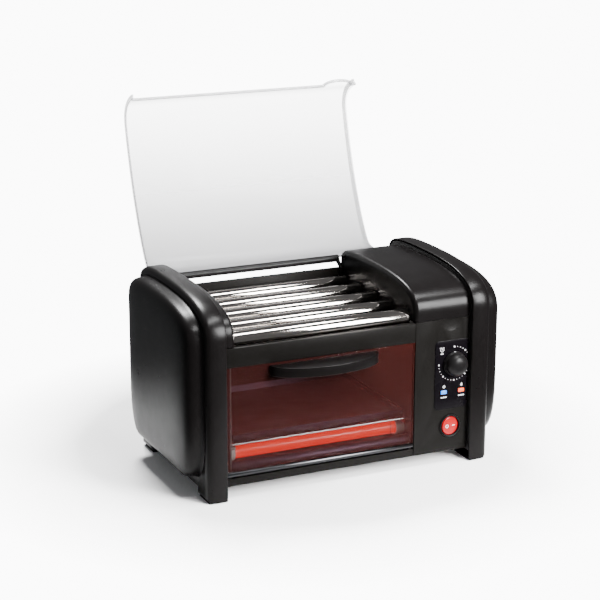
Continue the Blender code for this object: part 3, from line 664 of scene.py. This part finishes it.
def roller(number):
    low, high, middle = box(f"roller_{number}")
    left, right = BED_LEFT + 0.0015, BED_RIGHT - 0.0015
    tube_radius, journal = 0.010, 0.004
    profile = [
        (0.0015, low.x), (journal - 0.0004, low.x), (journal, low.x + 0.0004), (journal, left - 0.0002),
        (tube_radius - 0.0024, left), (tube_radius - 0.0016, left + 0.0006), (tube_radius - 0.0009, left),
        (tube_radius - 0.0002, left + 0.0002), (tube_radius, left + 0.0009),
        (tube_radius, right - 0.0009), (tube_radius - 0.0002, right - 0.0002), (tube_radius - 0.0009, right),
        (tube_radius - 0.0016, right - 0.0006), (tube_radius - 0.0024, right), (journal, right + 0.0002),
        (journal, high.x - 0.0004), (journal - 0.0004, high.x), (0.0015, high.x),
    ]
    shape = lathe(bmesh.new(), profile, (0, middle.y, middle.z), WORLD_X, 96)
    piece(f"roller_{number}_tube", shape, CHROME, f"roller_set_{number}", replaces=[f"roller_{number}"])


for roller_number in ROLLERS:
    roller(roller_number)


# Hood

PIVOT = box("hood_hinge_bar")[2]


def from_pivot(x, y, z):
    return Vector((x, PIVOT.y + y, PIVOT.z + z))


def hood_profile():
    low = bezier((0.0055, 0.0005), (0.034, -0.0035), (0.044, -0.004), (0.052, 0.0045), 10)
    rise = bezier((0.052, 0.0045), (0.078, 0.040), (0.103, 0.103), (0.117, 0.1645), 22)
    curl = bezier((0.117, 0.1645), (0.1195, 0.180), (0.111, 0.191), (0.0915, 0.1985), 16)
    return [*low, *rise, *curl, (0.0915, 0.1985)]


TAB_CENTRE, TAB_HALF, TAB_HEIGHT = 0.124, 0.019, 0.007


def hood_rows(columns, profile):
    """The sheet's points, one row for each x, reaching further up across the half-round finger tab."""
    edge = Vector((-0.45, 0.89))
    rows = []
    for x in columns:
        share = min(1.0, abs(x - TAB_CENTRE) / TAB_HALF)
        reach = edge * TAB_HEIGHT * math.sqrt(max(0.0, 1 - share * share))
        row = [from_pivot(x, y, z) for y, z in profile]
        row[-1] += Vector((0, reach.x, reach.y))
        rows.append(row)
    return rows


def hood():
    wall = 0.0025
    half = box("hood_shell")[1].x
    profile = hood_profile()
    columns = [-half + 0.0002, -half / 3, half / 3, TAB_CENTRE - TAB_HALF]
    columns += [TAB_CENTRE - TAB_HALF * math.cos(math.pi * i / 16) for i in range(1, 17)]
    columns += [half - 0.0002]
    shape = bmesh.new()
    rows_to_faces(shape, [[shape.verts.new(p) for p in row] for row in hood_rows(columns, profile)])
    thick = [solid(wall, 0), bevelled(0.0004, 2, 50)]
    piece("hood_sheet", shape, ACRYLIC, "hood", modifiers=thick, replaces=["hood_shell"])
    # The rolled lip along the free edge, and the side flanges, which turn outwards.
    lip = [row[-1] for row in hood_rows(columns, profile)]
    lip_shape = tube(bmesh.new(), lip, 0.0019, 10)
    piece("hood_lip", lip_shape, ACRYLIC_EDGE, "hood", sharp=60)
    root = inset(profile, 0.0014)
    rim = inset(profile, 0.0068)
    for side in (-1, 1):
        flange = bmesh.new()
        rows = []
        for offset in (half - 0.0026, half - 0.0004):
            for line, x in ((root, side * offset), (rim, side * (offset - 0.0005))):
                rows.append([flange.verts.new(from_pivot(x, y, z)) for y, z in line])
        a, b, c, d = rows
        rows_to_faces(flange, [a, b, d, c], closed_rows=True)
        for end in (0, -1):
            flange.faces.new([row[end] for row in (a, b, d, c)])
        name = "hood_flange_right" if side > 0 else "hood_flange_left"
        piece(name, flange, ACRYLIC_EDGE, "hood", modifiers=[bevelled(0.0004, 2, 50)])


hood()


# Cabinet front and the controls

softened("front_fascia", 0.0007, PANEL, "cabinet")
softened("back_panel", 0.0005, PANEL, "cabinet")
softened("control_overlay", 0.0003, FILM, "cabinet", angle=60)
for side_name in ("left", "right"):
    softened(side_name + "_hinge_bracket", 0.0004, PANEL, "cabinet")
    softened(side_name + "_side_frame", 0.0004, NYLON, "cabinet")
    for end_name in ("front", "back"):
        softened(f"foot_pad_{end_name}_{side_name}", 0.0002, RUBBER, "cabinet")


def control_panel():
    """The panel with the shallow thumb scoop pressed in below the gearbox cover."""
    panel = softened("control_panel", 0.0006, PANEL, "cabinet")
    half_size = (0.0195, 0.0060, 0.0215)
    centre = (0.1300, FRONT - 0.0041, 0.1772)
    scoop = bmesh.new()
    bmesh.ops.create_uvsphere(scoop, u_segments=64, v_segments=40, radius=1.0)
    bmesh.ops.scale(scoop, vec=half_size, verts=scoop.verts)
    bmesh.ops.translate(scoop, vec=centre, verts=scoop.verts)
    cut(panel, scoop)


control_panel()
OVERLAY_FACE = box("control_overlay")[0].y
DIAL = box("timer_knob")[2]
LAMPS = [box("blue_lamp")[2], box("orange_lamp")[2]]


# The ink's front and back, from the film's face.
INK_FRONT, INK_BACK = -0.00007, 0.00003


def ink(shape, outline):
    slab(shape, outline, OVERLAY_FACE + INK_FRONT, OVERLAY_FACE + INK_BACK, across_y)


def ink_bar(shape, centre, low, high, radius, points):
    """A printed bar with rounded corners; low and high are measured from centre."""
    corners = [(centre[0] + u, centre[1] + v) for u, v in (low, high)]
    ink(shape, rounded(*corners, radius, points))


def ring(shape, centre, radius, width, turns=(0, 360), points=28):
    """A printed ring or arc, built from short blocks; angles run clockwise from the top."""
    first, last = (math.radians(a) for a in turns)
    outside = radius + width
    section = ((radius, INK_FRONT), (outside, INK_FRONT), (outside, INK_BACK), (radius, INK_BACK))
    rows = []
    for i in range(points + 1):
        angle = first + (last - first) * i / points
        u, v = math.sin(angle), math.cos(angle)
        rows.append([
            shape.verts.new((centre[0] + u * reach, OVERLAY_FACE + depth, centre[1] + v * reach))
            for reach, depth in section
        ])
    rows_to_faces(shape, rows, closed_columns=True)
    shape.faces.new(rows[0])
    shape.faces.new(rows[-1])


def printing():
    """The dial's scale and the symbols, printed in white on the film."""
    marks = bmesh.new()
    dot_spacing, reach = 11.25, 0.0203
    gap_start, gap_end = 62, 118
    for step in range(25):
        degrees = step * dot_spacing
        if gap_start < degrees < gap_end:
            continue
        angle = math.radians(degrees)
        large = step % 4 == 0
        centre = (DIAL.x + reach * math.sin(angle), DIAL.z + reach * math.cos(angle))
        ink(marks, circle(centre, 0.00088 if large else 0.00040, 14))
    clock = (0.1178, 0.1399)
    ring(marks, clock, 0.0020, 0.0004)
    ring(marks, clock, 0.0032, 0.0004, (-60, -25), 6)
    ring(marks, clock, 0.0032, 0.0004, (25, 60), 6)
    ink_bar(marks, clock, (-0.00025, -0.0001), (0.00025, 0.0016), 0.0001, 2)
    ink_bar(marks, clock, (-0.0001, -0.00025), (0.0012, 0.00025), 0.0001, 2)
    ink_bar(marks, clock, (-0.0018, -0.0052), (0.0018, -0.0044), 0.0002, 3)
    for lamp in LAMPS:
        for offset in (-0.0027, 0.0, 0.0027):
            low = (lamp.x + offset - 0.0010, lamp.z - 0.0068)
            ink(marks, rounded(low, (low[0] + 0.0020, low[1] + 0.0014), 0.0003, 3))
    blue, orange = LAMPS
    ring(marks, (blue.x, blue.z + 0.0068), 0.0010, 0.0006, (35, 325), 18)
    ink(marks, rounded((blue.x - 0.0003, blue.z + 0.0070), (blue.x + 0.0003, blue.z + 0.0090), 0.0002, 3))
    flame = [(0.0, 0.0022), (0.0009, 0.0008), (0.0013, -0.0004), (0.0009, -0.0014), (0.0, -0.0018),
             (-0.0009, -0.0014), (-0.0013, -0.0004), (-0.0007, 0.0006)]
    ink(marks, [(orange.x + x, orange.z + 0.0072 + z) for x, z in flame])
    piece("printed_symbols", marks, WHITE_INK, "cabinet")


printing()


def timer_knob():
    """A domed knob with a shallow finger waist and a white line that points at the scale."""
    back = box("timer_knob")[1].y
    profile = [
        (0.0, 0.0), (0.0140, 0.0), (0.0145, 0.0005), (0.0145, 0.0022), (0.0142, 0.0030), (0.0137, 0.0034),
        (0.0136, 0.0060), (0.0131, 0.0084), (0.0119, 0.0108), (0.0098, 0.0128), (0.0068, 0.0141),
        (0.0034, 0.0146), (0.0, 0.0147),
    ]
    knob = lathe(bmesh.new(), profile, (DIAL.x, back, DIAL.z), -WORLD_Y, 72)
    piece("timer_knob_dome", knob, NYLON, "timer_dial", replaces=["timer_knob"])
    pointer = bmesh.new()
    low = (DIAL.x - 0.0004, back - 0.0023, DIAL.z + 0.0137)
    brick(pointer, low, (DIAL.x + 0.0004, back - 0.0004, DIAL.z + 0.01458))
    piece("timer_knob_line", pointer, WHITE_INK, "timer_dial")


timer_knob()


def lamps():
    for name, finish in (("blue_lamp", BLUE), ("orange_lamp", ORANGE)):
        softened(name, 0.0006, finish, "cabinet", segments=3)


lamps()


def power_switch():
    middle = box("rocker_housing")[2]
    profile = [
        (0.0, -0.0135), (0.0118, -0.0135), (0.0118, 0.0012), (0.0120, 0.0018), (0.0124, 0.0020),
        (0.0129, 0.0019), (0.0133, 0.0015), (0.0135, 0.0009), (0.0135, 0.0003), (0.0125, 0.0003),
        (0.0125, -0.0160), (0.0, -0.0160),
    ]
    bezel = lathe(bmesh.new(), profile, (middle.x, FRONT, middle.z), -WORLD_Y, 72)
    piece("rocker_bezel", bezel, NYLON, "cabinet", replaces=["rocker_housing"])
    softened("rocker_button", 0.0007, RED, "power_rocker", segments=3, angle=25)
    source = NODES["rocker_button"]
    turn = source.matrix_world.to_3x3()
    front = [p for p in source.data.polygons if (turn @ p.normal).y < -0.9 and p.area > 0.0]
    total = sum(p.area for p in front)
    normal = sum(((turn @ p.normal) * p.area for p in front), Vector()).normalized()
    centre = sum((source.matrix_world @ p.center * p.area for p in front), Vector()) / total
    across = WORLD_Z.cross(-normal).normalized()
    across = -across if across.x < 0 else across

    def on_face(u, v, height):
        return centre + across * u + WORLD_Z * v + normal * height

    marks = bmesh.new()
    outer = circle((-0.0048, 0.0), 0.0021, 24)
    inner = circle((-0.0048, 0.0), 0.0015, 24)
    rows = []
    for outline, height in ((outer, 0.0), (outer, 0.00008), (inner, 0.00008), (inner, 0.0)):
        rows.append([marks.verts.new(on_face(u, v, height)) for u, v in outline])
    rows_to_faces(marks, rows, closed_rows=True, closed_columns=True)
    slab(marks, rounded((0.0028, -0.0004), (0.0062, 0.0004), 0.0002, 3), -0.00002, 0.00008, on_face)
    piece("rocker_marks", marks, WHITE_INK, "power_rocker")


power_switch()

# Door and oven


def door():
    softened("door_glass", 0.0007, GLASS, "door", segments=3)
    softened("door_handle", 0.0026, SHELL, "door", segments=5, angle=50, sharp=60)
    softened("door_rail", 0.0004, BRIGHT_RAIL, "door")


door()


HEATER_LOW, HEATER_HIGH, HEATER_MIDDLE = box("lower_heater")
HEATER_RADIUS = (HEATER_HIGH.z - HEATER_LOW.z) / 2


def heater_tube():
    segments = 48
    left, right = HEATER_LOW.x, HEATER_HIGH.x
    bore = HEATER_RADIUS - 0.0013
    profile = [(bore, left), (HEATER_RADIUS, left), (HEATER_RADIUS, right), (bore, right)]
    shape = bmesh.new()
    rows = []
    for i in range(segments):
        angle = 2 * math.pi * i / segments
        y, z = math.cos(angle), math.sin(angle)
        rows.append([
            shape.verts.new((x, HEATER_MIDDLE.y + r * y, HEATER_MIDDLE.z + r * z)) for r, x in profile
        ])
    rows_to_faces(shape, rows, closed_rows=True, closed_columns=True)
    piece("heater_tube", shape, QUARTZ, "cabinet", replaces=["lower_heater"])


def heater_coil():
    turns, steps, radius, wire = 40, 12, 0.0042, 0.0007
    first, last = HEATER_LOW.x + 0.010, HEATER_HIGH.x - 0.010
    path = []
    for i in range(turns * steps + 1):
        angle = 2 * math.pi * i / steps
        x = first + (last - first) * i / (turns * steps)
        y, z = radius * math.cos(angle), radius * math.sin(angle)
        path.append((x, HEATER_MIDDLE.y + y, HEATER_MIDDLE.z + z))
    piece("heater_coil", tube(bmesh.new(), path, wire, 6), COIL, "cabinet", sharp=80)


def heater_bracket():
    """The wire-coloured plate that the tube lies in, near its right end."""
    plate_left, plate_right = 0.0655, 0.0665
    middle = HEATER_MIDDLE
    grip = HEATER_RADIUS + 0.0003
    wide = grip + 0.0035
    notch = [
        (middle.y + grip * math.cos(a), middle.z - grip * math.sin(a)) for a in np.linspace(0, math.pi, 15)
    ]
    base = box("lower_reflector")[0].z + 0.0038
    peak = middle.z + grip + 0.0020
    outline = [
        (middle.y + wide, base), (middle.y + wide, peak), (middle.y + grip, peak), *notch,
        (middle.y - grip, peak), (middle.y - wide + 0.0035, peak), (middle.y - wide + 0.0035, base),
    ]
    bracket = slab(bmesh.new(), outline, plate_left, plate_right, across_x)
    piece("heater_bracket", bracket, RACK_WIRE, "cabinet", modifiers=[bevelled(0.0002, 2)])


heater_tube()
heater_coil()
for end_node in ("lower_heater_left_end", "lower_heater_right_end"):
    softened(end_node, 0.0005, CERAMIC, "cabinet")
heater_bracket()


def rack():
    """Round chromed wires: a front and a back bar with welded runs between them."""
    low, high, middle = box("wire_rack")
    radius, run_radius, spaces = 0.0012, 0.0009, 16
    shape = bmesh.new()
    for y in (low.y + radius, high.y - radius):
        tube(shape, [(low.x, y, middle.z), (high.x, y, middle.z)], radius, 14)
    for x in (low.x + radius, high.x - radius):
        tube(shape, [(x, low.y + radius, middle.z), (x, high.y - radius, middle.z)], radius, 12)
    for i in range(1, spaces):
        x = low.x + radius + (high.x - low.x - 2 * radius) * i / spaces
        tube(shape, [(x, low.y + radius, middle.z), (x, high.y - radius, middle.z)], run_radius, 10)
    piece("rack_wires", shape, RACK_WIRE, "cabinet", replaces=["wire_rack"])


rack()
softened("bun_tray", 0.0004, DARK_TRAY, "cabinet")
softened("lower_reflector", 0.0003, DARK_TRAY, "cabinet")
softened("crumb_tray", 0.0004, PANEL, "crumb_drawer")


def hinge_bar():
    low, high = box("hood_hinge_bar")[:2]
    left, right = BED_LEFT + 0.0029, BED_RIGHT - 0.0029
    profile = [
        (0.0, low.x), (0.0018, low.x), (0.0018, left), (0.0039, left), (0.0045, left + 0.0006),
        (0.0045, right - 0.0006), (0.0039, right), (0.0018, right), (0.0018, high.x), (0.0, high.x),
    ]
    bar = lathe(bmesh.new(), profile, (0, PIVOT.y, PIVOT.z), WORLD_X, 48)
    piece("hood_bar", bar, NYLON, "hood", replaces=["hood_hinge_bar"])


hinge_bar()


def screws():
    """Cross-headed screws in the back panel."""
    heads = bmesh.new()
    crosses = bmesh.new()
    face = box("back_panel")[1].y
    places = [(x, z) for x in (-0.1455, -0.030, 0.1455) for z in (0.024, 0.166)]
    profile = [
        (0.0, -0.0004), (0.0034, -0.0004), (0.0034, 0.0003), (0.0028, 0.0010), (0.0016, 0.0014),
        (0.0, 0.0015),
    ]
    arm = [(-0.0004, -0.0004), (-0.0004, -0.0019), (0.0004, -0.0019)]
    cross = [
        (u * c - v * s, u * s + v * c)
        for c, s in ((1, 0), (0, 1), (-1, 0), (0, -1)) for u, v in arm
    ]
    for x, z in places:
        lathe(heads, profile, (x, face, z), WORLD_Y, 24)
        slab(crosses, [(x + u, z + v) for u, v in cross], face + 0.0008, face + 0.0030, across_y)
    made = piece("back_screws", heads, SCREW, "cabinet")
    cut(made, crosses)


screws()


# Camera, lights and floor


def look(location, yaw, pitch, roll):
    forward = Vector((math.sin(yaw) * math.cos(pitch), math.cos(yaw) * math.cos(pitch), -math.sin(pitch)))
    right = Vector((math.cos(yaw), -math.sin(yaw), 0.0))
    up = right.cross(forward)
    turned_right = right * math.cos(roll) + up * math.sin(roll)
    turned_up = up * math.cos(roll) - right * math.sin(roll)
    matrix = Matrix((turned_right, turned_up, -forward)).transposed().to_4x4()
    return Matrix.Translation(location) @ matrix


def camera():
    made = bpy.data.objects.new("camera", bpy.data.cameras.new("camera"))
    bpy.context.scene.collection.objects.link(made)
    made.data.sensor_width = 36.0
    made.data.lens = 107.25
    made.matrix_world = look(Vector((-0.8567, -1.8630, 0.7614)), 0.4329, 0.2781, 0.0020)
    bpy.context.scene.camera = made


def area_light(name, location, target, size, power, colour=(1, 1, 1)):
    made = bpy.data.objects.new(name, bpy.data.lights.new(name, "AREA"))
    made.data.shape = "RECTANGLE"
    made.data.size, made.data.size_y = size
    made.data.energy = power
    made.data.color = colour
    made.location = location
    made.rotation_euler = (Vector(target) - Vector(location)).to_track_quat("-Z", "Y").to_euler()
    bpy.context.scene.collection.objects.link(made)


def studio():
    world = bpy.data.worlds.new("studio")
    bpy.context.scene.world = world
    world.use_nodes = True
    tree = world.node_tree
    tree.nodes.clear()
    output = tree.nodes.new("ShaderNodeOutputWorld")
    dim = tree.nodes.new("ShaderNodeBackground")
    dim.inputs["Color"].default_value = (0.95, 0.97, 1.0, 1.0)
    dim.inputs["Strength"].default_value = 0.28
    bright = tree.nodes.new("ShaderNodeBackground")
    bright.inputs["Color"].default_value = (1.0, 1.0, 1.0, 1.0)
    bright.inputs["Strength"].default_value = 11.0
    seen = tree.nodes.new("ShaderNodeLightPath")
    mix = tree.nodes.new("ShaderNodeMixShader")
    tree.links.new(seen.outputs["Is Camera Ray"], mix.inputs[0])
    tree.links.new(dim.outputs[0], mix.inputs[1])
    tree.links.new(bright.outputs[0], mix.inputs[2])
    tree.links.new(mix.outputs[0], output.inputs[0])
    area_light("overhead", (0.35, -0.55, 1.75), (0, -0.05, 0.1), (1.1, 0.36), 85.0)
    area_light("front_key", (0.62, -1.16, 0.66), (0, -0.1, 0.15), (0.50, 0.72), 105.0)
    area_light("left_fill", (-1.7, -1.1, 0.9), (0, -0.05, 0.12), (0.7, 1.0), 1.5)
    above, below = (-0.03, at_y(0.03), 0.132), (-0.03, at_y(-0.03), 0.05)
    area_light("oven_glow", above, below, (0.20, 0.01), 0.13, (1.0, 0.08, 0.02))
    area_light("back_wash", (0.0, 1.05, 1.75), (0, 0.0, 0.0), (0.5, 0.5), 125.0)


def floor():
    shape = bmesh.new()
    bmesh.ops.create_circle(shape, cap_ends=True, segments=96, radius=1.1)
    mesh = bpy.data.meshes.new("floor")
    shape.to_mesh(mesh)
    shape.free()
    made = bpy.data.objects.new("floor", mesh)
    bpy.context.scene.collection.objects.link(made)
    finish = Nodes("floor_paper")
    broad = finish.noise(3.0, 3.0)
    finish.link(finish.mix(broad, (0.86, 0.86, 0.86), (0.88, 0.88, 0.88)), finish.shader.inputs["Base Color"])
    away = finish.add("VectorMath", operation="LENGTH")
    finish.link(finish.where, away.inputs[0])
    finish.link(finish.remap(away.outputs["Value"], 0.26, 0.43, 1.0, 0.0), finish.shader.inputs["Alpha"])
    finish.set(Roughness=0.9, Specular_IOR_Level=0.1)
    mesh.materials.append(finish.material)


camera()
studio()
floor()


# The carried-over nodes

FINISHES = {
    STEEL: [
        "left_bearing_plate", "right_bearing_plate", "base_plate", "drip_pan", "gear_motor", "timer_shaft",
    ],
    ACETAL: [
        "left_bearing_strip", "right_bearing_strip", "motor_pinion",
        *(f"roller_gear_{i}" for i in ROLLERS), *(f"idler_gear_{i}" for i in range(1, 5)),
    ],
    NYLON: ["timer_body", "cord_gland"],
    QUARTZ: ["upper_heater"],
}
for finish, names in FINISHES.items():
    for node in names:
        NODES[node].data.materials.clear()
        NODES[node].data.materials.append(finish)
